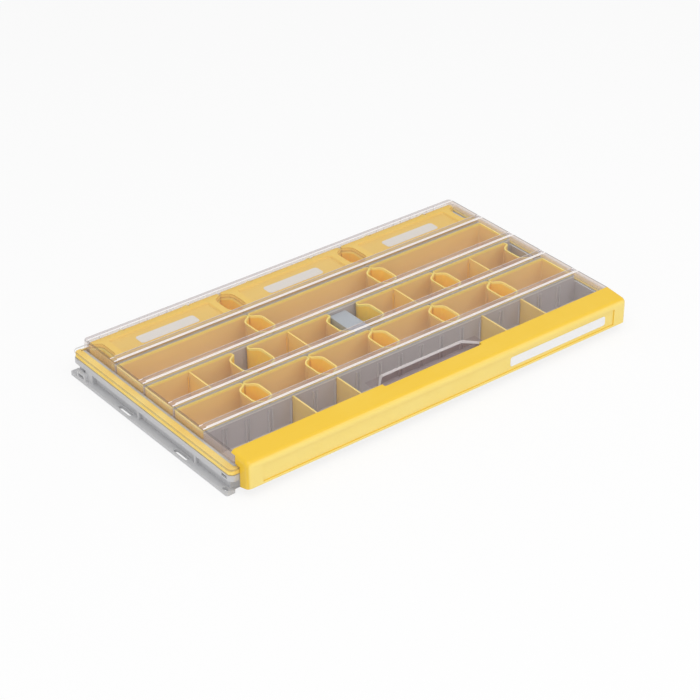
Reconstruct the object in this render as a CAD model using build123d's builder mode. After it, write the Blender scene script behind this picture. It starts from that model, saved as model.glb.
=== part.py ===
from build123d import *
from math import atan2, tan
import os

# A thin, closed tackle box. X runs along the box, the latch is at -Y, Z is up.
# The origin is on the table, under the middle of the closed box.

# Overall sizes
box_length = 419.0        # over the tips of the end flanges
box_width = 234.5         # face of the latch to the back of the hinge
box_height = 33.2         # table to the top of the latch

# How far each side reaches beyond the inside of the tray
flange_reach = 13.0       # lower end flange
front_reach = 19.2        # face of the latch
rear_reach = 6.3          # back of the hinge barrel
rim_reach_end = 9.8
rim_reach_front = 7.8
rim_reach_rear = 5.2
end_body_reach = 6.0      # recessed end wall between rim and lower flange
flange_setback = 1.3      # lower end flange behind the front of the rim
lid_flange_short = 0.8    # lid flange in front of the back of the hinge barrel

# Wall and floor thicknesses
wall = 2.2                # tray wall at the ends and the front
rear_wall = 1.4
row_wall = 1.6
floor_thick = 2.0
flange_thick = 3.0        # lower end flange
lid_sheet = 2.0
lid_wall = 1.8
lid_flange = 1.5
latch_wall = 2.4
latch_end_wall = 2.2
bin_wall = 1.5

# Heights
rim_bottom = 11.5
rim_top = 16.8
rear_rim_drop = 0.8
seal_height = 4.1
lid_below_latch = 1.2     # plateau of the lid under the top of the latch
lid_rib_height = 1.0
bin_below_lid = 3.3       # rim of a bin under the sheet of the lid
row_below_lid = 3.0       # top of a row wall under the sheet of the lid

# Clearances
seal_gap = 0.3            # seal to the rim of the tray
wall_gap = 0.5            # lid to the top of the tray wall
bin_gap = 0.3             # bin to each side of its row
end_gap = 0.7             # bin to the end of its row
neighbour_gap = 0.4       # bin to bin
fit_gap = 0.3             # between faces that pass each other
pin_gap = 0.06            # hinge pin in its hole, radial
latch_gap = 0.5           # latch to the lid and to the rim
merge = 0.5               # a joined block reaches this far into its neighbour
overlap = 0.2             # a raised detail starts this far under the face it stands on
past = 1.0                # a cut reaches at least this far past the face it opens

# Rows
row_count = 5
row_margin = 0.75         # extra width of the first and the last row
rib_slots = 17            # divider slots along the front row
rib_margin = 20.1         # end of the row to the first slot
divider_slots = (-5, -3, 4, 6)      # slots in use, counted from the middle one

# Hinges
zone_margin = 5.5         # end of the tray to the hinge zone
zone_length = 88.0
knuckles = 9
lid_barrel = 2.3
lid_pin = 0.95
latch_barrel = 2.7
latch_pin = 1.2
latch_pivot_in = 7.9      # behind the face of the latch
latch_pivot_up = 8.2
latch_arm_below = 2.1     # arm of the tray's latch knuckles, under the axis
knuckle_gap = 0.4
cover_barrel = 1.3
cover_pin = 0.8
hinge_room = 4.0          # extra length of the cut in the rim of the tray

# Bins and boxes
bin_draft = 0.5           # each side leans out by this much from floor to rim
bin_corner = 3.0
bin_foot = 1.6            # slope along the foot of a bin
scoop_depth = 8.0         # into the bin at its rim
scoop_foot = 2.0          # into the bin at its floor
scoop_half = 14.5         # half width of the scoop at the end of the bin
scoop_flat = 10.0         # half width of its deepest part
scoop_mouth = 1.8         # radius where the scoop meets the end of the bin
scoop_round = 6.0         # radius beside the deepest part
hollow_mouth = 0.6        # the same two, inside the bin
hollow_foot = 0.6
finger_gap = 14.1         # third row: first bin to second
spacer_gap = 29.0         # third row: second bin to third
tail_gap = 7.7            # third row: fourth bin to the end
divider_thick = 1.4
cover_thick = 1.4
box_drop = 1.5            # rim of a covered box under the rim of a bin
cover_frame = 1.8         # raised frame on a cover
cover_label_length = 58.0
cover_label_width = 12.0
label_thick = 0.3

# Details of the end flanges of the tray
slot_length = 18.0
slot_width = 3.9
slot_inset = 3.0          # middle of a slot from the edge of the flange
slot_offsets = (31.7, -47.0)        # from the middle of the tray
small_slot_length = 6.0
small_slot_width = 3.0
web_offset = 16.5         # slot to the web in front of it
web_thick = 2.4
boss_length = 10.0
boss_in = 18.8            # middle of the boss from the inside of the tray's back wall
lug_thick = 3.2           # lug with an oval eye, at the rear of the flange
lug_length = 13.0
lug_height = 9.0
lug_in = 4.8              # end of the lug from the inside of the tray's back wall
eye_length = 8.5
eye_width = 3.2
eye_deep = 2.0
pocket_length = 7.0       # pockets in the rim, near the front corners
pocket_deep = 2.0
pocket_edge = 1.3
pocket_in = 8.5
core_width = 2.0          # cored-out underside of the end walls
core_web = 6.0
core_roof = 2.0

# Lid details
lid_lean = 0.9            # the side wall leans in by this much over its height
rib_width = 6.6           # long ribs on top of the lid
rib_end_gap = 3.5
step_back = 4.2           # step for the lip of the latch, behind the front wall of the lid
step_depth = 1.9
under_rib_width = 2.4     # ribs under the lid that close the rows
groove_end = 1.6          # groove for the back strip of the seal, past the side wall
groove_deep = 1.0
gusset_thick = 1.2
recess_half = 41.5        # finger recess, half length at its back edge
recess_splay = 12.0
recess_back = 15.5        # back edge of the recess, behind the front wall of the lid
recess_depth = 7.5
recess_lip = 1.6          # sloping edge round the recess

# Latch details
latch_end_gap = 8.3       # end of the latch inside the end of the rim
latch_bottom = 8.0        # lower edge of the face
latch_front_drop = 2.3    # slope of the top from the lip down to the face
latch_cap_bottom = 5.0    # lower back corner of the end caps
notch_half = 51.0
notch_depth = 3.2
panel_half = 184.0
panel_depth = 0.9
panel_low = 10.0
panel_high = 25.0
latch_label_x = 120.5
latch_label_z = 17.7
latch_label_length = 107.0
latch_label_height = 8.6
latch_label_corner = 2.0

# Rounding
corner = 5.0              # outer corners in plan
flange_corner = 1.9
wall_corner = 3.0         # wall of the tray
inside_corner = 1.5
lid_corner = 4.0
lid_hollow_corner = 2.5
lid_round = 1.0           # edge of the top of the lid
recess_corner = 3.0
latch_roll = 5.0          # top of the latch to its face
latch_end_round = 3.5
notch_corner = 1.4
soft_edge = 0.8           # spacer and seal

os.makedirs("parts", exist_ok=True)

# Places worked out from the sizes above
inside_length = box_length - 2 * flange_reach
inside_width = box_width - front_reach - rear_reach
inside_end = inside_length / 2
tray_y = (front_reach - rear_reach) / 2
inside_front = tray_y - inside_width / 2
inside_rear = tray_y + inside_width / 2
row_pitch = (inside_width - 2 * row_margin) / row_count
lid_top = box_height - lid_below_latch
lid_under = lid_top - lid_sheet
bin_rim = lid_under - bin_below_lid
row_top = lid_under - row_below_lid
seal_bottom = rim_top + seal_gap
flange_under = seal_bottom + seal_height
flange_top = flange_under + lid_flange
wall_top = flange_under - wall_gap
zone_start = inside_end - zone_margin - zone_length
zone_middle = zone_start + zone_length / 2
rib_pitch = (inside_length - 2 * rib_margin) / (rib_slots - 1)
knuckle_pitch = zone_length / knuckles
knuckle_width = knuckle_pitch - knuckle_gap
lid_axis_y = inside_rear + rear_reach - lid_barrel
lid_axis_z = flange_top - overlap - lid_barrel
latch_axis_y = inside_front - front_reach + latch_pivot_in
latch_axis_z = latch_pivot_up


def row_y(row):
    """Middle of a row; row 0 is at the back, row 4 at the front."""
    return tray_y + (row_count // 2 - row) * row_pitch


def save(part, name):
    part.label = name
    export_step(part, f"parts/{name}.step")


def block(x0, x1, y0, y1, z0, z1, mode=Mode.ADD):
    """A block in the current part, by its sides."""
    with Locations(((x0 + x1) / 2, (y0 + y1) / 2, (z0 + z1) / 2)):
        Box(x1 - x0, y1 - y0, z1 - z0, mode=mode)


def rounded_block(x0, x1, y0, y1, z0, z1, radius, mode=Mode.ADD):
    """A block with rounded upright corners in the current part."""
    with BuildSketch(Plane.XY.offset(z0)) as outline:
        with Locations(((x0 + x1) / 2, (y0 + y1) / 2)):
            RectangleRounded(x1 - x0, y1 - y0, radius)
    extrude(outline.sketch, amount=z1 - z0, mode=mode)


def knuckle_middles(first):
    """Middle in X of every second knuckle of both hinge zones."""
    middles = [zone_start + (k + 0.5) * knuckle_pitch for k in range(first, knuckles, 2)]
    return middles + [-x for x in middles]


def along_x(places):
    """Places (x, y, z) turned so that a cylinder there lies along X."""
    return [Location(place, (0, 90, 0)) for place in places]


# Base tray
body_end = inside_end + end_body_reach
body_front = inside_front - wall
body_rear = inside_rear + rear_wall
rim_end = inside_end + rim_reach_end
rim_front = inside_front - rim_reach_front
rim_rear = inside_rear + rim_reach_rear
flange_end = box_length / 2
flange_front = rim_front + flange_setback
slot_x = flange_end - slot_inset
slot_places = [tray_y + offset for offset in slot_offsets]
web_places = [y - web_offset for y in slot_places]
boss_y = inside_rear - boss_in
small_slot_places = (boss_y + boss_length / 2 + small_slot_length, flange_front + small_slot_length - merge)
core_count = 5
core_pitch = inside_width / core_count
front_row_wall = row_y(3) - row_pitch / 2 - row_wall / 2
rib_spread = 1.75         # middle of a slot to the middle of each of its two ribs
rib_thick = 1.0
rib_depth = 1.2
rear_rib_short = 4.0
front_rib_short = 2.0

with BuildPart() as base_tray:
    # Lower body with the recessed end walls, and the wall that stands inside the seal
    block(-body_end, body_end, body_front, body_rear, 0, rim_top)
    rounded_block(-inside_end - wall, inside_end + wall, body_front, body_rear, rim_bottom, wall_top,
                  wall_corner)
    # Rim along the ends and the front, lower along the back and cut away at the hinge zones
    rounded_block(-rim_end, rim_end, rim_front, inside_rear, rim_bottom, rim_top, corner)
    rounded_block(-rim_end, rim_end, inside_front, rim_rear, rim_bottom, rim_top - rear_rim_drop, corner)
    for side in (-1, 1):
        cut_half = (zone_length + hinge_room) / 2
        block(side * zone_middle - cut_half, side * zone_middle + cut_half, body_rear, rim_rear + past,
              rim_bottom, rim_top, Mode.SUBTRACT)
    # Lower flange at each end
    flange_wide = flange_end - body_end + flange_corner
    with BuildSketch() as flange_outline:
        with Locations([(side * (flange_end - flange_wide / 2), (flange_front + rim_rear) / 2)
                        for side in (-1, 1)]):
            RectangleRounded(flange_wide, rim_rear - flange_front, flange_corner)
    extrude(amount=flange_thick)
    # Inside of the tray
    rounded_block(-inside_end, inside_end, inside_front, inside_rear, floor_thick, wall_top + past,
                  inside_corner, Mode.SUBTRACT)
    # Walls between the rows, a little shorter where they stand up into the lid
    with Locations([(0, row_y(row) - row_pitch / 2, floor_thick) for row in range(row_count - 1)]):
        Box(inside_length, row_wall, wall_top - floor_thick, align=(Align.CENTER, Align.CENTER, Align.MIN))
        Box(inside_length - 2 * inside_corner, row_wall, row_top - floor_thick,
            align=(Align.CENTER, Align.CENTER, Align.MIN))
    # Webs and a boss between the rim and the lower flange
    web_height = rim_bottom - flange_thick
    web_reach = rim_end - body_end
    web_short = 1.0
    with Locations([(side * (body_end + (web_reach - web_short) / 2), y, flange_thick + web_height / 2)
                    for side in (-1, 1) for y in web_places]):
        Box(web_reach - web_short, web_thick, web_height)
    with Locations([(side * (body_end + web_reach / 2), boss_y, flange_thick + web_height / 2)
                    for side in (-1, 1)]):
        Box(web_reach, boss_length, web_height)
    # Lug at the rear of each flange, with an oval eye in its outer face
    lug_y = (inside_rear - lug_in - lug_length, inside_rear - lug_in)
    for side in (-1, 1):
        block(*sorted((side * (flange_end - lug_thick), side * flange_end)), *lug_y, 0, lug_height)
        with BuildSketch(Plane.YZ.offset(side * flange_end)) as eye:
            with Locations((sum(lug_y) / 2, (flange_thick + lug_height) / 2)):
                SlotOverall(eye_length, eye_width)
        extrude(eye.sketch, amount=eye_deep, both=True, mode=Mode.SUBTRACT)
    # Slots through the lower flange
    with BuildSketch() as flange_slots:
        with Locations([(side * slot_x, y) for side in (-1, 1) for y in slot_places]):
            SlotOverall(slot_length, slot_width, rotation=90)
        with Locations([(side * slot_x, y) for side in (-1, 1) for y in small_slot_places]):
            SlotOverall(small_slot_length, small_slot_width, rotation=90)
    extrude(amount=flange_thick, mode=Mode.SUBTRACT)
    # Pockets in the outer face of the rim, near the front corners
    pocket_height = rim_top - rim_bottom - 2 * pocket_edge
    with Locations([(side * rim_end, rim_front + pocket_in, (rim_top + rim_bottom) / 2) for side in (-1, 1)]):
        Box(2 * pocket_deep, pocket_length, pocket_height, mode=Mode.SUBTRACT)
    # Cored-out underside of the thick end walls
    with Locations([(side * (inside_end + wall + core_width / 2), tray_y + k * core_pitch, 0)
                    for side in (-1, 1) for k in range(-(core_count // 2), core_count // 2 + 1)]):
        Box(core_width, core_pitch - core_web, 2 * (rim_bottom - core_roof), mode=Mode.SUBTRACT)
    # Divider ribs on both long walls of the front row
    rib_x = [(k - rib_slots // 2) * rib_pitch + side * rib_spread
             for k in range(rib_slots) for side in (-1, 1)]
    rear_rib_height = row_top - rear_rib_short - floor_thick
    with Locations([(x, front_row_wall - rib_depth / 2, floor_thick + rear_rib_height / 2) for x in rib_x]):
        Box(rib_thick, rib_depth, rear_rib_height)
    front_rib_height = wall_top - front_rib_short - floor_thick
    with Locations([(x, inside_front + rib_depth / 2, floor_thick + front_rib_height / 2) for x in rib_x]):
        Box(rib_thick, rib_depth, front_rib_height)
    # Knuckles of the lid hinge and of the latch hinge
    middles = knuckle_middles(0)
    lid_web = (body_rear - merge, lid_axis_y + 1.0)
    with Locations([(x, (lid_web[0] + lid_web[1]) / 2, (rim_bottom + lid_axis_z) / 2) for x in middles]):
        Box(knuckle_width, lid_web[1] - lid_web[0], lid_axis_z - rim_bottom)
    with Locations(along_x([(x, lid_axis_y, lid_axis_z) for x in middles])):
        Cylinder(lid_barrel, knuckle_width)
    for x in middles:
        block(x - knuckle_width / 2, x + knuckle_width / 2, latch_axis_y, body_front + merge,
              latch_axis_z - latch_arm_below, rim_bottom)
    with Locations(along_x([(x, latch_axis_y, latch_axis_z) for x in middles])):
        Cylinder(latch_barrel, knuckle_width)
    with Locations(along_x([(side * zone_middle, lid_axis_y, lid_axis_z) for side in (-1, 1)])):
        Cylinder(lid_pin + pin_gap, zone_length + 1, mode=Mode.SUBTRACT)
    with Locations(along_x([(side * zone_middle, latch_axis_y, latch_axis_z) for side in (-1, 1)])):
        Cylinder(latch_pin + pin_gap, zone_length + 1, mode=Mode.SUBTRACT)

save(base_tray.part, "base_tray")


# Bins, boxes and their dividers
run_end = inside_end - end_gap
bin_width = row_pitch - row_wall - 2 * bin_gap


def bin_outline(length, width, ends, depth, draft, inset):
    """Outline of a bin from above with its ends drawn in by the scoops, or of its hollow at an inset."""
    along = length / 2 - draft - inset
    across = width / 2 - draft - inset
    shift = inset * tan(atan2(depth, scoop_half - scoop_flat) / 2)
    mouth = scoop_half + shift
    flat = scoop_flat + shift
    points = []
    for end in (-1, 1):
        points.append((end * along, -end * across))
        if end in ends:
            deep = end * (along - depth)
            points += [(end * along, -end * mouth), (deep, -end * flat),
                       (deep, end * flat), (end * along, end * mouth)]
        points.append((end * along, end * across))
    mouth_round = hollow_mouth if inset > 0 else scoop_mouth
    with BuildSketch(mode=Mode.PRIVATE) as outline:
        with BuildLine():
            Polyline(*points, close=True)
        make_face()
        for reach, radius in ((across, bin_corner - draft - inset), (mouth, mouth_round),
                              (flat, scoop_round + inset)):
            rounded = outline.vertices().filter_by(lambda v: abs(abs(v.Y) - reach) < 0.01)
            if rounded:
                fillet(rounded, radius)
    return outline.sketch


def bin_shape(length, ends, levels):
    """A bin or its hollow; each level is a height with the scoop, the draft and the inset there."""
    with BuildPart() as shape:
        for z, depth, draft, inset in levels:
            with BuildSketch(Plane.XY.offset(z)):
                add(bin_outline(length, bin_width, ends, depth, draft, inset))
        loft(ruled=True)
    return shape.part


def hollow_bin(length, ends, rim):
    """A thin bin on the tray floor, centred on the origin in plan."""
    inner_floor = floor_thick + bin_wall
    with BuildPart() as shell:
        add(bin_shape(length, ends, ((floor_thick, scoop_foot, bin_draft + bin_foot, 0),
                                     (floor_thick + bin_foot, scoop_foot, bin_draft, 0),
                                     (rim, scoop_depth, 0, 0))))
        add(bin_shape(length, ends, ((inner_floor, scoop_foot, bin_draft + hollow_foot, bin_wall),
                                     (inner_floor + hollow_foot, scoop_foot, bin_draft, bin_wall),
                                     (rim + past, scoop_depth, 0, bin_wall))), mode=Mode.SUBTRACT)
    return shell.part


def row_of_bins(row, count, name):
    """Equal bins along a row, scooped where two of them meet."""
    pitch = 2 * run_end / count
    for k in range(count):
        ends = [end for end in (-1, 1) if 0 <= k + end < count]
        x = -run_end + (k + 0.5) * pitch
        part = hollow_bin(pitch - neighbour_gap, ends, bin_rim)
        save(part.moved(Location((x, row_y(row), 0))), f"{name}_{k + 1}")


row_of_bins(1, 3, "long_bin")
row_of_bins(3, 6, "short_bin")

# Third row: four bins with a loose divider across the middle of each, and a spacer block
split_length = (2 * run_end - finger_gap - spacer_gap - neighbour_gap - tail_gap) / 4
split_starts = [-run_end, -run_end + split_length + finger_gap]
split_starts.append(split_starts[1] + split_length + spacer_gap)
split_starts.append(split_starts[2] + split_length + neighbour_gap)
guide_thick = 0.8
guide_reach = 1.0
guide_root = 1.4          # part of a guide inside the leaning wall
guide_foot = 1.0
guide_low = 5.0           # top of a guide under the rim
divider_play = 0.15
divider_cut = 2.2         # lower corners of a divider
divider_low = 1.0         # top of a divider under the rim
guide_x = divider_thick / 2 + divider_play + guide_thick / 2
for k, start in enumerate(split_starts):
    middle = (start + split_length / 2, row_y(2), 0)
    with BuildPart() as split_bin:
        add(hollow_bin(split_length, (-1, 1) if k else (1,), bin_rim))
        guide_height = bin_rim - guide_low - floor_thick - guide_foot
        guide_y = bin_width / 2 - bin_wall - guide_reach / 2
        with Locations([(end * guide_x, side * guide_y, floor_thick + guide_foot + guide_height / 2)
                        for end in (-1, 1) for side in (-1, 1)]):
            Box(guide_thick, guide_reach + guide_root, guide_height)
    save(split_bin.part.moved(Location(middle)), f"split_bin_{k + 1}")
    with BuildPart() as bin_divider:
        half_width = bin_width / 2 - bin_wall - fit_gap
        foot = floor_thick + bin_wall
        with BuildSketch(Plane.YZ.offset(-divider_thick / 2)):
            with BuildLine():
                Polyline((-half_width + bin_draft + divider_cut, foot),
                         (half_width - bin_draft - divider_cut, foot),
                         (half_width - bin_draft, foot + divider_cut),
                         (half_width, bin_rim - divider_low),
                         (-half_width, bin_rim - divider_low),
                         (-half_width + bin_draft, foot + divider_cut),
                         close=True)
            make_face()
        extrude(amount=divider_thick)
    save(bin_divider.part.moved(Location(middle)), f"bin_divider_{k + 1}")

spacer_offset = 4.2       # nearer the second bin than the third
spacer_middle = split_starts[1] + split_length + spacer_gap / 2 - spacer_offset
spacer_length = 18.5
spacer_low = 3.0          # top of the block under the rim of the bins
spacer_corner = 2.0
with BuildPart() as spacer_block:
    with BuildSketch(Plane.XY.offset(floor_thick)):
        with Locations((spacer_middle, row_y(2))):
            RectangleRounded(spacer_length, bin_width, spacer_corner)
    extrude(amount=bin_rim - spacer_low - floor_thick, taper=1)
    fillet(spacer_block.faces().sort_by(Axis.Z)[-1].edges(), soft_edge)
save(spacer_block.part, "spacer_block")

# Front row: upright dividers between the ribs of the tray
divider_back = front_row_wall - fit_gap
divider_front = inside_front + fit_gap
divider_step = wall_top - 0.5        # above this a divider clears the front wall of the lid
divider_step_in = 2.0
for k, slot in enumerate(divider_slots):
    x = slot * rib_pitch
    with BuildPart() as row_divider:
        block(x - divider_thick / 2, x + divider_thick / 2, divider_front, divider_back,
              floor_thick, divider_step)
        block(x - divider_thick / 2, x + divider_thick / 2, divider_front + divider_step_in, divider_back,
              divider_step, bin_rim)
    save(row_divider.part, f"row_divider_{k + 1}")

# Back row: three boxes with hinged covers and label plates
box_count = 3
box_pitch = 2 * run_end / box_count
box_length_each = box_pitch - neighbour_gap
box_rim = bin_rim - box_drop
cover_bottom = box_rim + fit_gap
cover_top = cover_bottom + cover_thick
cover_axis_in = 1.8
cover_axis_y = inside_rear - cover_axis_in - row_y(0)      # from the middle of the row
cover_axis_z = cover_bottom + cover_thick / 2
cover_back = bin_width / 2 - fit_gap
cover_zone = 30.0         # half length of the cover's hinge barrel
barrel_room = 0.4         # round the barrel of a cover
ear_length = 4.0
ear_gap = 0.4
ear_wall = 0.3            # of an ear behind and in front of the barrel's radius
ear_below = 2.4           # foot of an ear, merged into the back wall
ear_notch_deep = 2.5      # notches in the cover at the ears
ear_notch_high = 3.0
frame_inset = 1.0
panel_inset = 16.0        # sunk panel of a cover, from its ends
panel_side = 8.0          # and from its sides
panel_corner = 2.0
panel_slope = 30
cover_label_offset = 1.5  # in front of the middle of the cover
cover_label_corner = 3.0
for k in range(box_count):
    middle = Location((-run_end + (k + 0.5) * box_pitch, row_y(0), 0))
    ear_x = cover_zone + ear_gap + ear_length / 2
    with BuildPart() as box_body:
        add(hollow_bin(box_length_each, (-1, 1), box_rim))
        with Locations((0, cover_axis_y, cover_axis_z)):
            Box(2 * (cover_zone + ear_gap), 2 * (cover_barrel + cover_axis_in),
                2 * (cover_barrel + barrel_room), mode=Mode.SUBTRACT)
        with Locations([(end * ear_x, cover_axis_y - ear_wall, cover_axis_z - ear_below / 2)
                        for end in (-1, 1)]):
            Box(ear_length, 2 * (cover_barrel + ear_wall), 2 * cover_barrel + ear_below)
        with Locations(Location((0, cover_axis_y, cover_axis_z), (0, 90, 0))):
            Cylinder(cover_pin + pin_gap, 2 * (cover_zone + ear_gap + ear_length) + 1, mode=Mode.SUBTRACT)
    save(box_body.part.moved(middle), f"box_{k + 1}")
    with BuildPart() as cover:
        with BuildSketch(Plane.XY.offset(cover_bottom)):
            add(bin_outline(box_length_each, 2 * cover_back, (-1, 1), scoop_depth, 0, 0))
        extrude(amount=cover_thick)
        with BuildSketch(Plane.XY.offset(cover_top)):
            add(bin_outline(box_length_each, 2 * cover_back, (-1, 1), scoop_depth, 0, frame_inset))
        extrude(amount=cover_frame)
        with BuildSketch(Plane.XY.offset(cover_top)):
            RectangleRounded(box_length_each - 2 * panel_inset, 2 * (cover_back - panel_side), panel_corner)
        extrude(amount=cover_frame, taper=-panel_slope, mode=Mode.SUBTRACT)
        with Locations([(end * ear_x, cover_back, cover_axis_z) for end in (-1, 1)]):
            Box(ear_length + 2 * ear_gap, 2 * ear_notch_deep, 2 * ear_notch_high, mode=Mode.SUBTRACT)
        with Locations(Location((0, cover_axis_y, cover_axis_z), (0, 90, 0))):
            Cylinder(cover_barrel, 2 * cover_zone)
            Cylinder(cover_pin, 2 * (cover_zone + ear_gap + ear_length))
    save(cover.part.moved(middle), f"box_cover_{k + 1}")
    with BuildPart() as cover_label:
        with BuildSketch(Plane.XY.offset(cover_top)):
            with Locations((0, -cover_label_offset)):
                RectangleRounded(cover_label_length, cover_label_width, cover_label_corner)
        extrude(amount=label_thick)
    save(cover_label.part.moved(middle), f"cover_label_{k + 1}")

# Lid
skirt_end = inside_end + wall
skirt_front = inside_front - wall
skirt_rear = inside_rear + wall
plateau_end = skirt_end - lid_lean
plateau_front = skirt_front + lid_lean
plateau_rear = skirt_rear - lid_lean
lid_flange_rear = inside_rear + rear_reach - lid_flange_short
step_y = plateau_front + step_back
step_z = lid_top - step_depth
recess_y = plateau_front + recess_back
recess_floor = lid_top - recess_depth
under_rib_bottom = row_top + wall_gap
flange_round = 0.6
rib_corner = 1.5
rib_slope = 20


def lid_dish(inset, z0, z1, upright):
    """The raised part of the lid as a solid, or with an inset as its hollow."""
    with BuildPart() as dish:
        low = (skirt_end - inset, skirt_front + inset, skirt_rear - inset)
        high = (plateau_end - inset, plateau_front + inset, plateau_rear - inset)
        for (end, front, rear), z in ((low, z0), (high, z1)):
            with BuildSketch(Plane.XY.offset(z)):
                with Locations((0, (front + rear) / 2)):
                    RectangleRounded(2 * end, rear - front, upright)
        loft()
        fillet(dish.faces().sort_by(Axis.Z)[-1].edges(), lid_round)
    return dish.part


def recess_shape(levels, front):
    """The finger recess as a solid, open towards the latch; each level is a height and how far it spreads."""
    with BuildPart() as recess:
        for z, spread in levels:
            back_half = recess_half + spread
            front_half = recess_half + recess_splay + spread
            with BuildSketch(Plane.XY.offset(z)) as outline:
                with BuildLine():
                    Polyline((-back_half, recess_y + spread), (back_half, recess_y + spread),
                             (front_half, step_y), (front_half, front),
                             (-front_half, front), (-front_half, step_y),
                             close=True)
                make_face()
                fillet(outline.vertices().group_by(Axis.Y)[-1], recess_corner)
        loft(ruled=True)
    return recess.part


with BuildPart() as lid:
    rounded_block(-rim_end, rim_end, rim_front, lid_flange_rear, flange_under, flange_top, corner)
    fillet(lid.faces().sort_by(Axis.Z)[-1].edges(), flange_round)
    add(lid_dish(0, flange_top - overlap / 2, lid_top, lid_corner))
    # Long ribs on top, over the row walls
    rib_middles = [row_y(row) - row_pitch / 2 for row in range(row_count - 1)]
    with BuildSketch(Plane.XY.offset(lid_top - overlap)):
        with Locations([(0, y) for y in rib_middles]):
            RectangleRounded(2 * (plateau_end - rib_end_gap), rib_width, rib_corner)
    extrude(amount=lid_rib_height + overlap, taper=rib_slope)
    # Hollow, then the ribs that close the rows below the sheet
    add(lid_dish(lid_wall, flange_under - overlap / 2, lid_under, lid_hollow_corner), mode=Mode.SUBTRACT)
    with Locations([(0, y, under_rib_bottom) for y in rib_middles]):
        Box(2 * (inside_end - wall_corner), under_rib_width, lid_under + overlap - under_rib_bottom,
            align=(Align.CENTER, Align.CENTER, Align.MIN))
    # Step for the lip of the latch
    block(-plateau_end + lid_wall / 2, plateau_end - lid_wall / 2, plateau_front + lid_wall / 2,
          step_y + lid_sheet, step_z - lid_sheet, lid_under)
    block(-skirt_end, skirt_end, skirt_front - past, step_y, step_z, lid_top + lid_rib_height + past,
          Mode.SUBTRACT)
    # Finger recess at the middle of the front edge
    lip_z = lid_top - recess_lip
    wall_spread = 0.6                        # extra spread of the wall of the recess at its top
    add(recess_shape([(recess_floor - lid_wall, lid_wall - recess_lip),
                      (lid_under + overlap, lid_wall + wall_spread)], plateau_front + merge))
    add(recess_shape([(recess_floor, -recess_lip), (lip_z, 0), (lid_top + past, recess_lip + past)],
                     skirt_front - past), mode=Mode.SUBTRACT)
    # Groove for the back strip of the seal
    block(-skirt_end - groove_end, skirt_end + groove_end, inside_rear - overlap, body_rear + overlap,
          flange_under - past, flange_under + groove_deep, Mode.SUBTRACT)
    # Knuckles with their gussets
    middles = knuckle_middles(1)
    gusset_top = lid_top - 0.8
    arm_back = body_rear + knuckle_gap
    with Locations([(x, (arm_back + lid_axis_y) / 2, (lid_axis_z + flange_top) / 2) for x in middles]):
        Box(knuckle_width, lid_axis_y - arm_back, flange_top - lid_axis_z)
    with Locations(along_x([(x, lid_axis_y, lid_axis_z) for x in middles])):
        Cylinder(lid_barrel, knuckle_width)
    for x in middles:
        for end in (-1, 1):
            with BuildSketch(Plane.YZ.offset(x + end * (knuckle_width - gusset_thick) / 2)) as gusset:
                with BuildLine():
                    Polyline((plateau_rear - merge, flange_top - overlap),
                             (lid_axis_y + merge, flange_top - overlap),
                             (plateau_rear + merge, gusset_top), (plateau_rear - merge, gusset_top),
                             close=True)
                make_face()
            extrude(gusset.sketch, amount=gusset_thick / 2, both=True)
    # Room for the knuckles of the tray
    room = knuckle_width + 2 * knuckle_gap
    for x in knuckle_middles(0):
        block(x - room / 2, x + room / 2, lid_axis_y - lid_barrel + knuckle_gap, lid_axis_y + lid_barrel,
              flange_under, flange_top + past, Mode.SUBTRACT)
    with Locations(along_x([(x, lid_axis_y, lid_axis_z) for x in knuckle_middles(0)])):
        Cylinder(lid_barrel + fit_gap, room, mode=Mode.SUBTRACT)
    with Locations(along_x([(side * zone_middle, lid_axis_y, lid_axis_z) for side in (-1, 1)])):
        Cylinder(lid_pin + pin_gap, zone_length + 1, mode=Mode.SUBTRACT)
save(lid.part, "lid")

# Seal under the flange of the lid; its back strip lies over the back wall of the tray
seal_inner_end = skirt_end + fit_gap
seal_inset = 0.3          # behind the edge of the flange
strip_inset = 0.1
bond_gap = 0.05           # film of glue under the flange
strip_gap = 0.25          # back strip over the back wall of the tray
with BuildPart() as seal:
    rounded_block(-rim_end + seal_inset, rim_end - seal_inset, rim_front + seal_inset, lid_axis_y - overlap,
                  seal_bottom, flange_under - bond_gap, corner - merge)
    fillet(seal.faces().sort_by(Axis.Z)[0].edges(), soft_edge)
    block(-seal_inner_end, seal_inner_end, skirt_front - fit_gap, lid_axis_y, seal_bottom - past,
          flange_under + past, Mode.SUBTRACT)
    block(-skirt_end - groove_end + fit_gap, skirt_end + groove_end - fit_gap, inside_rear + strip_inset,
          body_rear, wall_top + strip_gap, flange_under + groove_deep - bond_gap)
save(seal.part, "seal")

# Latch bar
face_y = inside_front - front_reach
latch_end = rim_end - latch_end_gap
lip_back = step_y - latch_gap
lip_under = step_z + latch_gap
cap_back = rim_front - latch_gap
cap_step_y = skirt_front - latch_gap
cap_step_z = flange_top + latch_gap
inner_y = face_y + latch_wall
latch_front_top = box_height - latch_front_drop


def latch_shape(points, roll, end):
    """The latch bar or its hollow as a solid; the roll is the radius between its top and its face."""
    with BuildPart() as bar:
        with BuildSketch(Plane.YZ.offset(-end)) as profile:
            with BuildLine():
                Polyline(*points, close=True)
            make_face()
            fillet(profile.vertices().group_by(Axis.X)[0].sort_by(Axis.Y)[-1], roll)
        extrude(amount=2 * end)
    return bar.part


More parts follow.
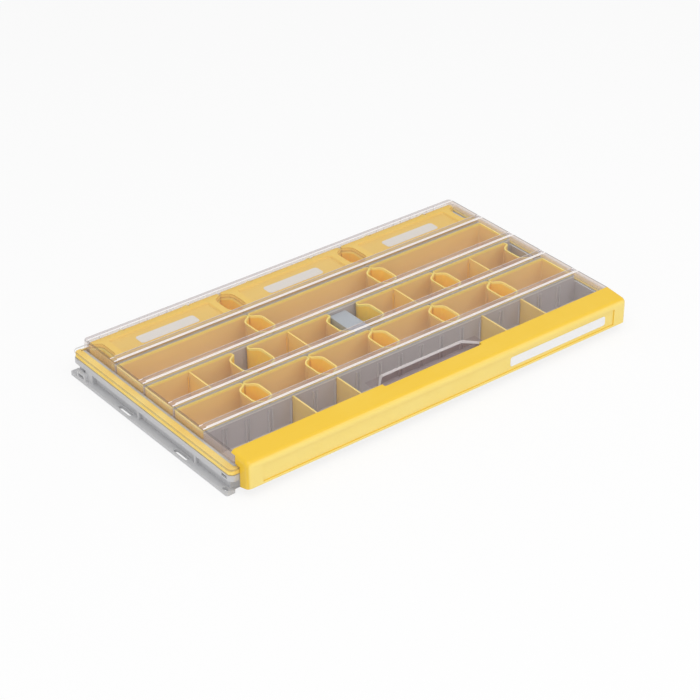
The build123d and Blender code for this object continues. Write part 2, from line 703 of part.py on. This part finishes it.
with BuildPart() as latch:
    add(latch_shape([(face_y, latch_bottom), (cap_back, latch_cap_bottom), (cap_back, cap_step_z),
                     (cap_step_y, cap_step_z), (cap_step_y, lip_under), (lip_back, lip_under),
                     (lip_back, box_height), (face_y, latch_front_top)], latch_roll, latch_end))
    # Soft edge round each end, over the top and down the face
    end_edges = latch.faces().filter_by(Axis.X).edges()
    top_edges = end_edges.filter_by(lambda edge: edge.center().Y < lip_back - past)
    top_edges = top_edges.filter_by(lambda edge: edge.center().Z > lip_under + past)
    face_edges = end_edges.filter_by(lambda edge: edge.center().Y < face_y + latch_roll / 2)
    fillet(top_edges + face_edges, latch_end_round)
    # Hollow, open below and behind
    add(latch_shape([(inner_y, 0), (inner_y, latch_front_top - latch_wall), (cap_step_y, lip_under),
                     (lip_back + past, lip_under), (lip_back + past, 0)],
                    latch_roll - latch_wall, latch_end - latch_end_wall), mode=Mode.SUBTRACT)
    # Lip cut back in front of the finger recess
    with BuildSketch(Plane.XY.offset(lip_under - past)) as notch:
        with Locations((0, lip_back - notch_depth / 2 + past / 2)):
            Rectangle(2 * notch_half, notch_depth + past)
        fillet(notch.vertices().group_by(Axis.Y)[0], notch_corner)
    extrude(notch.sketch, amount=box_height, mode=Mode.SUBTRACT)
    # Shallow panel on the face
    block(-panel_half, panel_half, face_y - past, face_y + panel_depth, panel_low, panel_high, Mode.SUBTRACT)
    # Knuckles behind the face
    middles = knuckle_middles(1)
    for x in middles:
        block(x - knuckle_width / 2, x + knuckle_width / 2, inner_y - merge, latch_axis_y,
              latch_bottom, latch_axis_z + latch_barrel)
    with Locations(along_x([(x, latch_axis_y, latch_axis_z) for x in middles])):
        Cylinder(latch_barrel, knuckle_width)
    with Locations(along_x([(side * zone_middle, latch_axis_y, latch_axis_z) for side in (-1, 1)])):
        Cylinder(latch_pin + pin_gap, zone_length + 1, mode=Mode.SUBTRACT)
save(latch.part, "latch")

with BuildPart() as latch_label:
    with BuildSketch(Plane.XZ.offset(-face_y - panel_depth)) as plate:
        with Locations((latch_label_x, latch_label_z)):
            RectangleRounded(latch_label_length, latch_label_height, latch_label_corner)
    extrude(plate.sketch, amount=label_thick)
save(latch_label.part, "latch_label")

# Steel hinge pins, one through each hinge zone
pin_chamfer = 0.2
for name, radius, y, z in (("lid_pin", lid_pin, lid_axis_y, lid_axis_z),
                           ("latch_pin", latch_pin, latch_axis_y, latch_axis_z)):
    for side, word in ((-1, "left"), (1, "right")):
        with BuildPart() as pin:
            with Locations(along_x([(side * zone_middle, y, z)])):
                Cylinder(radius, zone_length)
            chamfer(pin.edges(), pin_chamfer)
        save(pin.part, f"{name}_{word}")
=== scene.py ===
import math

import bpy
from mathutils import Matrix, Vector


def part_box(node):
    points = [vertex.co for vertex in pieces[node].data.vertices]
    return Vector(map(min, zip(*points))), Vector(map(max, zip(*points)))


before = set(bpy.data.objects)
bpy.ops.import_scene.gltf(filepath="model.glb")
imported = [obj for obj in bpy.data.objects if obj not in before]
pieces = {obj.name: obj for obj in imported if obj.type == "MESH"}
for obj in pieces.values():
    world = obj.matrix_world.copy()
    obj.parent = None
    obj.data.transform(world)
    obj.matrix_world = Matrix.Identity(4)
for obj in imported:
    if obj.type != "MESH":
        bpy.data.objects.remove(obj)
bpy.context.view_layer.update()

# Base tray.
# One grey polypropylene moulding: floor, outer wall, row walls, rim, end flanges and hinge knuckles.
# Its faces have a fine spark-eroded grain, paler and a little shinier at the foot, where shelves rub it.
tray_grey = (0.58, 0.58, 0.59)
tray_inside_painted_shade = (0.52, 0.47, 0.475)
tray_rib_painted_light = (0.74, 0.71, 0.71)
tray_wall_top_painted_light = (0.80, 0.76, 0.74)
tray_cloud_grey = (0.60, 0.59, 0.59)
tray_rub_grey = (0.68, 0.68, 0.68)
tray_cloud_share = 0.16
tray_rub_share = 0.35
tray_roughness = 0.46
tray_rub_polish = 0.12
tray_grain_roughness = 0.1
tray_grain_depth = 0.00004
rows_middle_y = 0.00645
rows_half_depth = 0.1048
rows_half_length = 0.1968
rows_top = 0.0265
rib_half_reach = 0.19
rib_foot = 0.0025
polypropylene_ior = 1.49


class Wire:
    """An output socket of a finish. Sums, products and comparisons of wires add Math nodes."""

    def __init__(self, tree, socket=None):
        self.tree = tree
        self.socket = socket

    def feed(self, target, value):
        if isinstance(value, Wire):
            self.tree.links.new(value.socket, target)
        elif target.type == "RGBA":
            target.default_value = (*value, 1.0)
        else:
            target.default_value = value

    def node(self, kind, settings=(), sockets=(), out=0):
        made = self.tree.nodes.new(kind)
        for name, value in dict(settings).items():
            setattr(made, name, value)
        for name, value in dict(sockets).items():
            self.feed(made.inputs[name], value)
        return Wire(self.tree, made.outputs[out]) if len(made.outputs) else None

    def maths(self, operation, *values):
        return self.node("ShaderNodeMath", {"operation": operation}, dict(enumerate(values)))

    def __add__(self, other):
        return self.maths("ADD", self, other)

    __radd__ = __add__

    def __mul__(self, other):
        return self.maths("MULTIPLY", self, other)

    __rmul__ = __mul__

    def __sub__(self, other):
        return self.maths("SUBTRACT", self, other)

    def __rsub__(self, other):
        return self.maths("SUBTRACT", other, self)

    def __mod__(self, other):
        return self.maths("MODULO", self, other)

    def __gt__(self, other):
        return self.maths("GREATER_THAN", self, other)

    def __lt__(self, other):
        return self.maths("LESS_THAN", self, other)

    def size(self):
        return self.maths("ABSOLUTE", self)

    def either(self, other):
        """The larger of two wires."""
        return self.maths("MAXIMUM", self, other)

    def capped(self):
        """No more than 1."""
        return self.maths("MINIMUM", self, 1.0)

    def rise(self, low, high):
        """0 at low and 1 at high, with a soft step between them."""
        return self.node("ShaderNodeMapRange", {"interpolation_type": "SMOOTHSTEP"},
                         {"Value": self, "From Min": low, "From Max": high})

    def blend(self, first, second):
        """The first colour where this wire is 0, the second where it is 1."""
        factor, colour_a, colour_b, colour_result = 0, 6, 7, 2
        return self.node("ShaderNodeMix", {"data_type": "RGBA"},
                         {factor: self, colour_a: first, colour_b: second}, colour_result)


class Finish:
    """A material with the piece's own place and facing as wires, in metres of the shared frame."""

    def __init__(self, name):
        self.material = bpy.data.materials.new(name)
        self.material.use_nodes = True
        tree = self.material.node_tree
        tree.nodes.clear()
        self.start = Wire(tree)
        self.place = self.start.node("ShaderNodeTexCoord", out="Object")
        self.x, self.y, self.z = self.split(self.place)
        self.nx, self.ny, self.nz = self.split(self.start.node("ShaderNodeTexCoord", out="Normal"))

    def split(self, vector):
        return [self.start.node("ShaderNodeSeparateXYZ", (), {"Vector": vector}, axis) for axis in "XYZ"]

    def noise(self, scale, detail):
        return self.start.node("ShaderNodeTexNoise", (), {"Vector": self.place, "Scale": scale, "Detail": detail})

    def stretched(self, scale, along, detail):
        """Noise drawn out along an axis, as flow marks and rub marks are."""
        place = self.start.node("ShaderNodeMapping", (), {"Vector": self.place, "Scale": along})
        return self.start.node("ShaderNodeTexNoise", (), {"Vector": place, "Scale": scale, "Detail": detail})

    def bump(self, height, depth):
        return self.start.node("ShaderNodeBump", (), {"Height": height, "Distance": depth})

    def done(self, **sockets):
        """Adds the surface and the output. The names are the surface's sockets, with _ for a space."""
        surface = self.start.node("ShaderNodeBsdfPrincipled", (), {
            name.replace("_", " "): value for name, value in sockets.items()})
        self.start.node("ShaderNodeOutputMaterial", (), {"Surface": surface})
        return self.material


def wear(piece, material):
    """Gives a CAD piece its finish."""
    piece.data.materials.clear()
    piece.data.materials.append(material)


tray = Finish("tray_grey")
tray_grain = tray.noise(scale=2600.0, detail=3.0)
tray_cloud = tray.noise(scale=14.0, detail=3.0)
in_rows = (tray.y - rows_middle_y).size() < rows_half_depth
in_rows = in_rows * (tray.x.size() < rows_half_length) * (tray.z < rows_top)
# The slot ribs on the row walls, picked by their sideways facing, are painted paler: painted light.
painted_lit_slot_rib = in_rows * tray.nx.size().rise(low=0.5, high=0.8)
painted_lit_slot_rib = painted_lit_slot_rib * (tray.x.size() < rib_half_reach) * (tray.z > rib_foot)
# Inside the rows the grey is painted darker: painted shade down between the walls, under the lid.
tray_shade = in_rows.blend(tray_grey, tray_inside_painted_shade)
tray_shade = painted_lit_slot_rib.blend(tray_shade, tray_rib_painted_light)
# The tops of the row walls are painted paler: painted light on the tops.
tray_shade = (in_rows * tray.z.rise(low=0.0252, high=0.0257)).blend(tray_shade, tray_wall_top_painted_light)
tray_shade = (tray_cloud.rise(low=0.35, high=0.7) * tray_cloud_share).blend(tray_shade, tray_cloud_grey)
rub = tray.stretched(scale=60.0, along=(1.0, 9.0, 9.0), detail=2.0).rise(low=0.55, high=0.8)
rub = rub * tray.z.rise(low=0.004, high=0.0)
tray_shade = (rub * tray_rub_share).blend(tray_shade, tray_rub_grey)
wear(pieces["base_tray"], tray.done(
    Base_Color=tray_shade, Roughness=tray_roughness - rub * tray_rub_polish + tray_grain * tray_grain_roughness,
    Normal=tray.bump(tray_grain, tray_grain_depth), IOR=polypropylene_ior))

# Bins.
# Thin amber polypropylene cups that lift out of the rows, with finger scoops where two of them meet.
# The light through the walls is painted into the colour: painted light, deep yellow, on the rims and scoops, and
# painted shade, paler and greyer, down inside.
rim_painted_light_yellow = (1.0, 0.77, 0.19)
scoop_painted_light_yellow = (1.0, 0.62, 0.045)
inner_tan = (0.88, 0.61, 0.22)
floor_painted_shade_tan = (0.80, 0.57, 0.27)
flow_tan = (0.97, 0.68, 0.28)
flow_share = 0.25
flow_height = 1.5
amber_roughness = 0.3
amber_grain_roughness = 0.12
amber_grain_depth = 0.00005
amber_glow = 0.12
amber_glow_reach = (0.004, 0.0025, 0.001)
bin_rim_height = 0.0267
rim_band_start = 0.0022
rim_band_end = 0.0012


def middle_x(name):
    low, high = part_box(name)
    return (low[0] + high[0]) / 2


def amber(name, rim_height):
    """The amber finish of one cup: its scoops are the faces at its ends that look away from its middle."""
    finish = Finish(name + "_amber")
    outward = finish.nx * (finish.x - middle_x(name))
    flow = finish.stretched(scale=90.0, along=(0.25, 1.0, 1.0), detail=3.0)
    grain = finish.noise(scale=1900.0, detail=2.0)
    # Darker and greyer towards the floor of the cup: painted shade.
    shade = finish.z.rise(low=0.004, high=0.024).blend(floor_painted_shade_tan, inner_tan)
    shade = (flow.rise(low=0.4, high=0.75) * flow_share).blend(shade, flow_tan)
    # The scoops, where two walls meet, are painted deep yellow: painted light through the walls.
    shade = outward.rise(low=0.0, high=0.002).blend(shade, scoop_painted_light_yellow)
    # A band just under the rim is painted bright yellow: painted highlight on the rim.
    shade = finish.z.rise(rim_height - rim_band_start, rim_height - rim_band_end).blend(shade, rim_painted_light_yellow)
    return finish.done(Base_Color=shade, Roughness=amber_roughness + grain * amber_grain_roughness,
                       Normal=finish.bump(grain + flow * flow_height, amber_grain_depth),
                       IOR=polypropylene_ior, Subsurface_Weight=amber_glow, Subsurface_Radius=amber_glow_reach)


for name in sorted(pieces):
    if name.startswith(("long_bin_", "split_bin_", "short_bin_")):
        wear(pieces[name], amber(name, bin_rim_height))

# Bin dividers and front-row dividers.
# Flat slips of the same amber plastic, pushed down between ribs on the walls.
# Their narrow edges are painted brighter than their faces: painted light.
slip_edge_painted_light = (1.0, 0.76, 0.20)
slip_face_yellow = (0.97, 0.66, 0.17)
slip_streak_yellow = (0.97, 0.68, 0.27)
slip_streak_share = 0.3
slip_roughness = 0.34
slip_streak_roughness = 0.1
slip_streak_depth = 0.00008
slip = Finish("divider_amber")
slip_streak = slip.stretched(scale=120.0, along=(1.0, 0.3, 1.6), detail=3.0)
# The faces are picked by their facing; the rest, the narrow edges, get the brighter painted light.
slip_shade = slip.nx.size().rise(low=0.4, high=0.8).blend(slip_edge_painted_light, slip_face_yellow)
slip_shade = (slip_streak.rise(low=0.4, high=0.7) * slip_streak_share).blend(slip_shade, slip_streak_yellow)
slip_finish = slip.done(Base_Color=slip_shade, Roughness=slip_roughness + slip_streak * slip_streak_roughness,
                        Normal=slip.bump(slip_streak, slip_streak_depth), IOR=polypropylene_ior)
for name in sorted(pieces):
    if name.startswith(("bin_divider_", "row_divider_")):
        wear(pieces[name], slip_finish)

# Spacer block.
# A blue-grey block with soft edges that fills the gap in the middle of the third row.
# Dense foamed plastic with a coarser grain than the tray, laid in loose.
block_dark = (0.37, 0.41, 0.46)
block_pale = (0.47, 0.51, 0.56)
block_roughness = 0.55
block_pore_roughness = 0.2
block_pore_depth = 0.0001
block = Finish("spacer_grey")
pores = block.noise(scale=900.0, detail=4.0)
wear(pieces["spacer_block"], block.done(
    Base_Color=pores.rise(low=0.3, high=0.7).blend(block_dark, block_pale),
    Roughness=block_roughness + pores * block_pore_roughness, Normal=block.bump(pores, block_pore_depth)))

# Covered boxes of the back row.
# Each is an amber cup with a yellow cover on stub pins, and a bare label plate stuck on the cover.
# The cover has a raised frame, with a shallow panel inside it that is painted darker: painted shade.
box_rim_height = 0.0252
cover_yellow = (0.88, 0.58, 0.085)
cover_panel_painted_shade = (0.82, 0.54, 0.11)
cover_cloud_yellow = (0.93, 0.66, 0.16)
cover_cloud_share = 0.2
cover_roughness = 0.36
cover_grain_roughness = 0.12
cover_grain_depth = 0.00005
plate_dark = (0.72, 0.68, 0.64)
plate_pale = (0.78, 0.745, 0.71)
plate_roughness = 0.42
plate_fibre_roughness = 0.15
plate_fibre_depth = 0.00003
cover = Finish("cover_yellow")
cover_cloud = cover.noise(scale=30.0, detail=3.0)
cover_grain = cover.noise(scale=2100.0, detail=2.0)
# Below the frame's top the shallow panel is painted darker: painted shade.
cover_shade = cover.z.rise(low=0.0272, high=0.0284).blend(cover_panel_painted_shade, cover_yellow)
cover_shade = (cover_cloud.rise(low=0.4, high=0.7) * cover_cloud_share).blend(cover_shade, cover_cloud_yellow)
cover_finish = cover.done(Base_Color=cover_shade, Roughness=cover_roughness + cover_grain * cover_grain_roughness,
                          Normal=cover.bump(cover_grain, cover_grain_depth), IOR=polypropylene_ior)
plate = Finish("cover_plate_pale")
plate_fibre = plate.stretched(scale=700.0, along=(0.4, 1.0, 1.0), detail=3.0)
plate_finish = plate.done(Base_Color=plate_fibre.blend(plate_dark, plate_pale),
                          Roughness=plate_roughness + plate_fibre * plate_fibre_roughness,
                          Normal=plate.bump(plate_fibre, plate_fibre_depth))
for k in (1, 2, 3):
    wear(pieces[f"box_{k}"], amber(f"box_{k}", box_rim_height))
    wear(pieces[f"box_cover_{k}"], cover_finish)
    wear(pieces[f"cover_label_{k}"], plate_finish)

# Hinge pins.
# Four straight steel wires, drawn and cut, pushed endwise through the knuckles of the lid and the latch.
# Drawing leaves fine lines along them.
steel_dark = (0.42, 0.42, 0.43)
steel_pale = (0.60, 0.60, 0.61)
steel_roughness = 0.25
steel_line_roughness = 0.2
steel_line_depth = 0.00003
steel = Finish("pin_steel")
drawn = steel.stretched(scale=1500.0, along=(0.03, 1.0, 1.0), detail=3.0)
steel_finish = steel.done(Base_Color=drawn.blend(steel_dark, steel_pale), Metallic=1.0,
                          Roughness=steel_roughness + drawn * steel_line_roughness,
                          Normal=steel.bump(drawn, steel_line_depth))
for name in ("lid_pin_left", "lid_pin_right", "latch_pin_left", "latch_pin_right"):
    wear(pieces[name], steel_finish)

# Seal.
# A soft yellow rubber ring, glued up under the flange of the lid so that it presses on the tray's rim.
# Its skin is matt, with faint flow lines along the ring.
seal_deep = (0.97, 0.66, 0.12)
seal_pale = (0.99, 0.76, 0.22)
seal_roughness = 0.5
seal_bloom_roughness = 0.15
seal_line_height = 2.0
seal_bump_depth = 0.00006
seal = Finish("seal_yellow")
seal_lines = seal.stretched(scale=240.0, along=(0.15, 0.15, 1.0), detail=3.0)
seal_bloom = seal.noise(scale=1600.0, detail=2.0)
wear(pieces["seal"], seal.done(
    Base_Color=seal_lines.rise(low=0.3, high=0.75).blend(seal_deep, seal_pale),
    Roughness=seal_roughness + seal_bloom * seal_bloom_roughness,
    Normal=seal.bump(seal_lines * seal_line_height + seal_bloom, seal_bump_depth)))

# Lid.
# One clear polycarbonate moulding: a thin sheet with long ribs, a skirt, a flange and hinge knuckles.
# It is see-through and faintly warm; the light and shade at its ribs, edges, walls and recess are painted into
# its colour and alpha.
lid_top = 0.0319         # as the other heights here, a hair under the faces that it picks out
lid_edge_foot = 0.0308
lid_edge_half_length = 0.1963
lid_back_edge = 0.1107
lid_far_end = 0.19
lid_flange_top = 0.0228
end_band_start = 0.1885
rib_pitch = 0.0415
rib_first_y = -0.0558
rib_pitches_before = 2.5  # keeps the remainder positive, with a rib at half a pitch
ribs_front = -0.075
rib_half_width = 0.0035
rib_front_line = -0.0020
rib_back_line = 0.0026
recess_half_length = 0.058
recess_back = -0.0815
recess_floor = 0.021
recess_edge_foot = 0.0303
facing_edge = 0.93       # a face that looks up less than this belongs to a rounded edge
facing_wall = 0.25
facing_up = 0.1
lid_clear = (0.80, 0.75, 0.72)
lid_wall_painted_reflection = (0.70, 0.56, 0.50)
lid_end_painted_light = (0.66, 0.50, 0.40)
lid_painted_dark_line = (0.20, 0.16, 0.15)
lid_rib_painted_reflection = (0.42, 0.345, 0.36)
lid_recess_painted_shade = (0.25, 0.16, 0.17)
lid_painted_highlight = (0.95, 0.91, 0.90)
recess_edge_share = 0.7
lid_veil = 0.045
haze_veil = 0.015
scuff_veil = 0.02
lid_coat = 0.3
lid_coat_roughness = 0.05
lid_roughness = 0.08
lid_scuff_roughness = 0.12
lid_haze_roughness = 0.04
lid_scuff_depth = 0.00002
polycarbonate_ior = 1.58
lid = Finish("lid_clear")
scuff = lid.stretched(scale=300.0, along=(0.1, 1.0, 1.0), detail=4.0).rise(low=0.62, high=0.8)
haze = lid.noise(scale=9.0, detail=2.0).rise(low=0.3, high=0.8)
across_rib = (lid.y + (rib_pitches_before * rib_pitch - rib_first_y)) % rib_pitch - rib_pitch / 2
# The tops of the ribs are painted greyer and denser: painted reflection.
on_rib = (lid.z > lid_top) * (across_rib.size() < rib_half_width) * (lid.y > ribs_front)
# The front and back edges of each rib are painted bright: painted highlights.
rib_front_highlight = on_rib * (across_rib < rib_front_line)
rib_back_highlight = on_rib * (across_rib > rib_back_line)
# The finger recess is painted dark and dense inside: painted shade under the latch.
recess = (lid.x.size() < recess_half_length) * (lid.y < recess_back)
recess = recess * (lid.z < lid_top) * (lid.z > recess_floor)
# The rounded top edge of the recess gets a painted highlight.
recess_edge_highlight = recess * (lid.z > recess_edge_foot) * (lid.nz < facing_edge)
near_top = (lid.z > lid_edge_foot) * (lid.nz > facing_up) * (1.0 - on_rib)
# The rounded edges of the top are painted as dark lines: painted shade where the clear edges bend the light away;
# the far end gets them denser.
painted_edge_line = near_top * (lid.x.size() > lid_edge_half_length).either(lid.y > lid_back_edge)
painted_far_edge = painted_edge_line * (lid.x > lid_far_end)
# A band at the right end of the top is painted warmer and denser: painted light.
painted_end_band = near_top * (lid.x > end_band_start) * (lid.x < lid_edge_half_length)
# The steep walls are painted warmer and denser: painted reflection.
wall = (lid.nz.size() < facing_wall) * (lid.z > lid_flange_top)
# The rounded edges of the flange get the same painted dark lines.
painted_rim_line = (lid.z < lid_flange_top) * (lid.nz.size() < facing_edge)
painted_highlight = (rib_front_highlight + rib_back_highlight + recess_edge_highlight * recess_edge_share).capped()
# The painted marks also make the sheet denser where they lie.
lid_alpha = lid_veil + haze * haze_veil + scuff * scuff_veil
for mark, share in ((on_rib, 0.4), (rib_front_highlight, 0.6), (rib_back_highlight, 0.6), (wall, 0.17), (painted_end_band, 0.42),
                    (painted_edge_line, 0.45), (painted_far_edge, 0.3), (painted_rim_line, 0.3), (recess, 0.22), (recess_edge_highlight, 0.28)):
    lid_alpha = lid_alpha + mark * share
# The painted reflections, painted shade and painted highlights are laid over the clear colour.
lid_shade = lid_clear
for mark, tint in ((wall, lid_wall_painted_reflection), (painted_end_band, lid_end_painted_light), (painted_edge_line + painted_rim_line, lid_painted_dark_line),
                   (on_rib, lid_rib_painted_reflection), (recess, lid_recess_painted_shade), (painted_highlight, lid_painted_highlight)):
    lid_shade = mark.blend(lid_shade, tint)
wear(pieces["lid"], lid.done(
    Base_Color=lid_shade, Roughness=lid_roughness + scuff * lid_scuff_roughness + haze * lid_haze_roughness,
    Alpha=lid_alpha, Normal=lid.bump(scuff, lid_scuff_depth), IOR=polycarbonate_ior, Coat_Weight=lid_coat,
    Coat_Roughness=lid_coat_roughness))

# Latch.
# A glossy yellow bar along the whole front, moulded with a lip, end webs and hinge knuckles.
# A bare white plate is stuck in the shallow panel on its face.
latch_top_yellow = (0.87, 0.555, 0.025)
latch_face_painted_light = (0.95, 0.74, 0.20)
latch_flow_yellow = (0.92, 0.64, 0.08)
latch_cloud_share = 0.25
latch_flow_share = 0.15
latch_roughness = 0.3
latch_grain_roughness = 0.1
latch_bump_depth = 0.00004
latch_ior = 1.5
latch_coat = 0.25
latch_coat_roughness = 0.15
sticker_shade = (0.86, 0.86, 0.87)
sticker_white = (0.92, 0.92, 0.93)
sticker_roughness = 0.35
sticker_fibre_roughness = 0.15
sticker_fibre_depth = 0.00003
latch = Finish("latch_yellow")
latch_cloud = latch.noise(scale=18.0, detail=3.0)
latch_flow = latch.stretched(scale=60.0, along=(0.08, 1.0, 1.0), detail=3.0)
latch_grain = latch.noise(scale=2400.0, detail=2.0)
# The front face is painted lighter and yellower than the top: painted light.
latch_shade = latch.ny.rise(low=-0.6, high=-0.95).blend(latch_top_yellow, latch_face_painted_light)
latch_marks = (latch_cloud.rise(low=0.35, high=0.7) * latch_cloud_share
               + latch_flow.rise(low=0.5, high=0.75) * latch_flow_share)
latch_shade = latch_marks.blend(latch_shade, latch_flow_yellow)
wear(pieces["latch"], latch.done(
    Base_Color=latch_shade, Roughness=latch_roughness + latch_grain * latch_grain_roughness,
    Normal=latch.bump(latch_grain + latch_flow, latch_bump_depth), IOR=latch_ior, Coat_Weight=latch_coat,
    Coat_Roughness=latch_coat_roughness))
sticker = Finish("latch_plate_white")
sticker_fibre = sticker.stretched(scale=800.0, along=(0.4, 1.0, 1.0), detail=3.0)
wear(pieces["latch_label"], sticker.done(
    Base_Color=sticker_fibre.blend(sticker_shade, sticker_white),
    Roughness=sticker_roughness + sticker_fibre * sticker_fibre_roughness,
    Normal=sticker.bump(sticker_fibre, sticker_fibre_depth)))

# Floor and background.
# A white table top, just under the tray, that runs out past the picture on every side.
# It looks near white to the camera and in reflections, yet keeps the soft shadow of the box.
# The sky is white to the camera and weaker as a light.
floor_span = 12.0
floor_drop = 0.0002
floor_white = (0.88, 0.88, 0.88)
floor_glow_share = 0.82
sky_white = (1.0, 1.0, 1.0)
sky_light = 0.62
bpy.ops.mesh.primitive_plane_add(size=floor_span, location=(0, 0, -floor_drop))
floor = bpy.context.object
floor.name = "floor"
ground = bpy.data.materials.new("floor_white")
ground.use_nodes = True
ground.node_tree.nodes.clear()
start = Wire(ground.node_tree)
seen = start.node("ShaderNodeLightPath", out="Is Camera Ray")
for ray in ("Is Glossy Ray", "Is Transmission Ray"):
    seen = seen.either(start.node("ShaderNodeLightPath", out=ray))
matt = start.node("ShaderNodeBsdfDiffuse", (), {"Color": floor_white})
glow = start.node("ShaderNodeEmission", (), {"Color": sky_white, "Strength": 1.0})
mixed = start.node("ShaderNodeMixShader", (), {0: seen * floor_glow_share, 1: matt, 2: glow})
start.node("ShaderNodeOutputMaterial", (), {"Surface": mixed})
floor.data.materials.append(ground)
world = bpy.data.worlds.new("studio")
bpy.context.scene.world = world
world.use_nodes = True
world.node_tree.nodes.clear()
sky = Wire(world.node_tree)
sky_strength = sky_light + sky.node("ShaderNodeLightPath", out="Is Camera Ray") * (1.0 - sky_light)
background = sky.node("ShaderNodeBackground", (), {"Color": sky_white, "Strength": sky_strength})
sky.node("ShaderNodeOutputWorld", (), {"Surface": background})


# Lamps.
# A wide soft lamp overhead, and two weak ones from the left and from the front right.
# Each is a square panel aimed at the middle of the box, its power in watts.
def lamp(name, place, side, power):
    data = bpy.data.lights.new(name, "AREA")
    data.shape = "SQUARE"
    data.size = side
    data.energy = power
    item = bpy.data.objects.new(name, data)
    bpy.context.scene.collection.objects.link(item)
    item.location = place
    item.rotation_euler = (-Vector(place)).to_track_quat("-Z", "Y").to_euler()


lamp("overhead", place=(-0.3, -0.5, 1.6), side=1.6, power=12.0)
lamp("left", place=(-1.6, -0.9, 0.7), side=1.0, power=4.0)
lamp("front_right", place=(0.8, -0.95, 1.0), side=0.5, power=2.5)

# Camera.
# It stands at the front left, about 1.8 m away, and looks down at the box.
# Its long lens keeps the long edges nearly parallel.
camera_place = (-0.93862, -1.17220, 0.92914)
camera_turn = math.radians(-38.4562)
camera_tilt = math.radians(31.7754)
camera_lens = 108.1
camera_sensor = 36.0
camera_data = bpy.data.cameras.new("camera")
camera_data.sensor_width = camera_sensor
camera_data.lens = camera_lens
camera = bpy.data.objects.new("camera", camera_data)
bpy.context.scene.collection.objects.link(camera)
right = Vector((math.cos(camera_turn), math.sin(camera_turn), 0))
back = Vector((math.sin(camera_turn) * math.cos(camera_tilt),
               -math.cos(camera_turn) * math.cos(camera_tilt), math.sin(camera_tilt)))
facing = Matrix((right, back.cross(right), back)).transposed().to_4x4()
camera.matrix_world = Matrix.Translation(camera_place) @ facing
bpy.context.scene.camera = camera
bpy.context.scene.view_settings.view_transform = "Standard"
